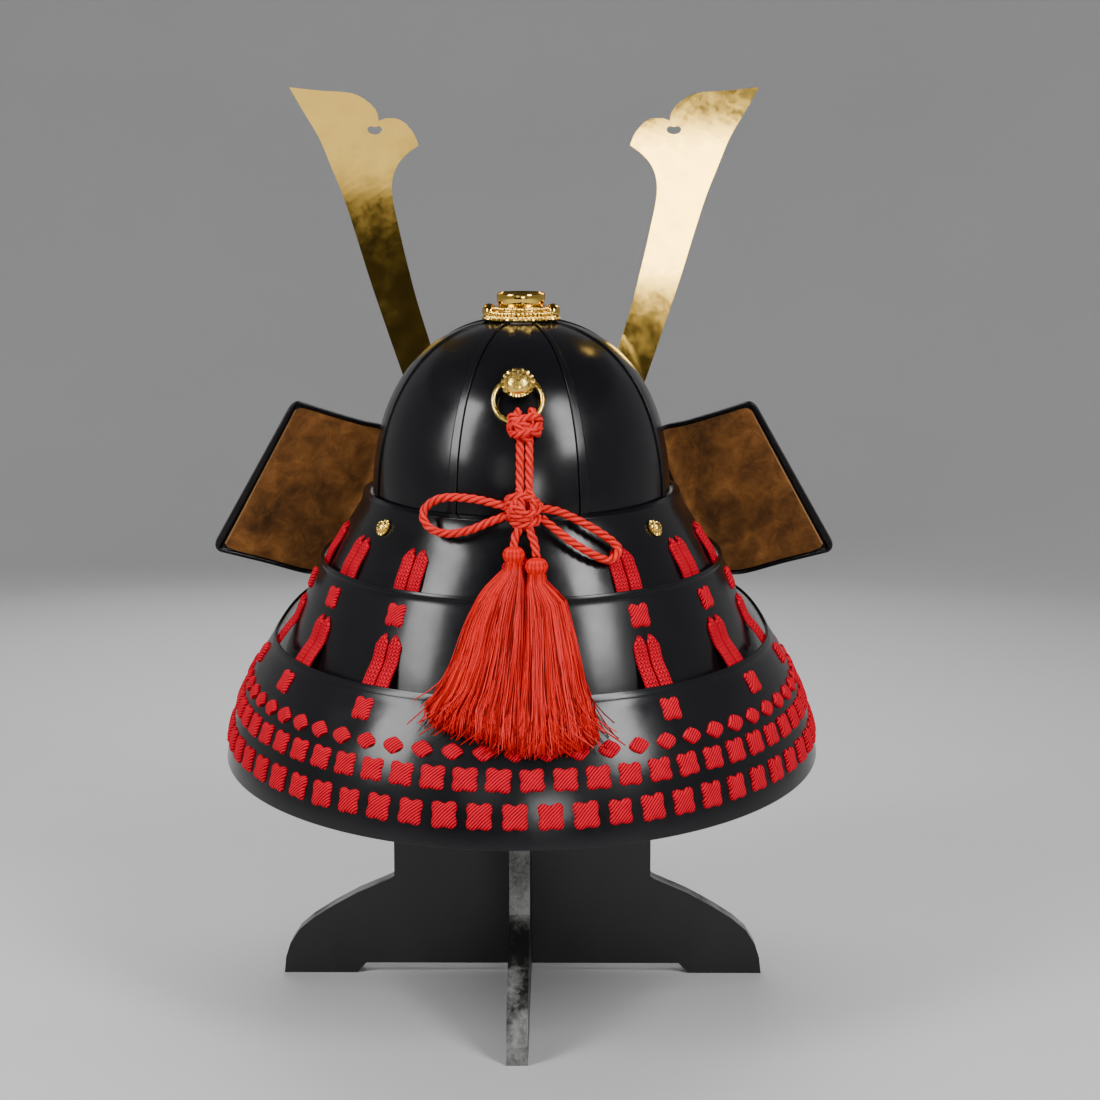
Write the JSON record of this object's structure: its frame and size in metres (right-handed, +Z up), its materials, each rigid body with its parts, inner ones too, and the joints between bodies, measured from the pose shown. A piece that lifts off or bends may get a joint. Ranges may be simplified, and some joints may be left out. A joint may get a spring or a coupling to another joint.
{
  "type": "samurai helmet on a crossed board stand",
  "caption": "Lacquered kabuto with a laced lame neck guard, suede-lined turn-backs, brass horns and a tied tassel cord, resting on a crossed board stand.",
  "frame": {"origin": "on the table, midway between the sides and between the front of the visor and the back of the neck guard", "axes": "+Z up, +Y towards the back of the helmet, +X towards its left side, so the helmet looks along -Y"},
  "size_m": [0.462, 0.3866, 0.6466],
  "materials": {
    "black_lacquer": "gloss black lacquer on sheet steel",
    "gilded_brass": "polished gilding",
    "polished_brass": "mirror-polished sheet",
    "red_braid": "flat braided cord",
    "coral_cord": "twisted satin cord and threads",
    "brown_suede": "brushed suede",
    "painted_board": "satin black paint, worn at the edges"
  },
  "bodies": {
    "root": {"bowl_plate_back": "black_lacquer", "bowl_plate_back_left": "black_lacquer", "bowl_plate_left": "black_lacquer", "bowl_plate_front_left": "black_lacquer", "bowl_plate_front": "black_lacquer", "bowl_plate_front_right": "black_lacquer", "bowl_plate_right": "black_lacquer", "bowl_plate_back_right": "black_lacquer", "crown_ring": "gilded_brass", "crown_petals": "gilded_brass", "crown_cup": "gilded_brass", "flower_boss": "gilded_brass", "cord_ring": "gilded_brass", "neck_lame_1": "black_lacquer", "neck_lame_2": "black_lacquer", "neck_lame_3": "black_lacquer", "turn_back_lining_left": "brown_suede", "turn_back_lining_right": "brown_suede", "lame_rivet_left": "gilded_brass", "lame_rivet_right": "gilded_brass", "lacing_upper_1": "red_braid", "lacing_upper_2": "red_braid", "lacing_upper_3": "red_braid", "lacing_upper_4": "red_braid", "lacing_upper_5": "red_braid", "lacing_upper_6": "red_braid", "lacing_upper_7": "red_braid", "lacing_lower_1": "red_braid", "lacing_lower_2": "red_braid", "lacing_lower_3": "red_braid", "lacing_lower_4": "red_braid", "lacing_lower_5": "red_braid", "lacing_lower_6": "red_braid", "lacing_lower_7": "red_braid", "visor": "black_lacquer", "horn_holder": "polished_brass", "horn_left": "polished_brass", "horn_right": "polished_brass", "ring_knot": "coral_cord", "bow_stem_left": "coral_cord", "bow_stem_right": "coral_cord", "bow_knot": "coral_cord", "bow_loop_left": "coral_cord", "bow_loop_right": "coral_cord", "bow_drop_left": "coral_cord", "bow_drop_right": "coral_cord", "tassel_left": "coral_cord", "tassel_right": "coral_cord", "stand_board_wide": "painted_board", "stand_board_cross": "painted_board"}
  },
  "joints": []
}
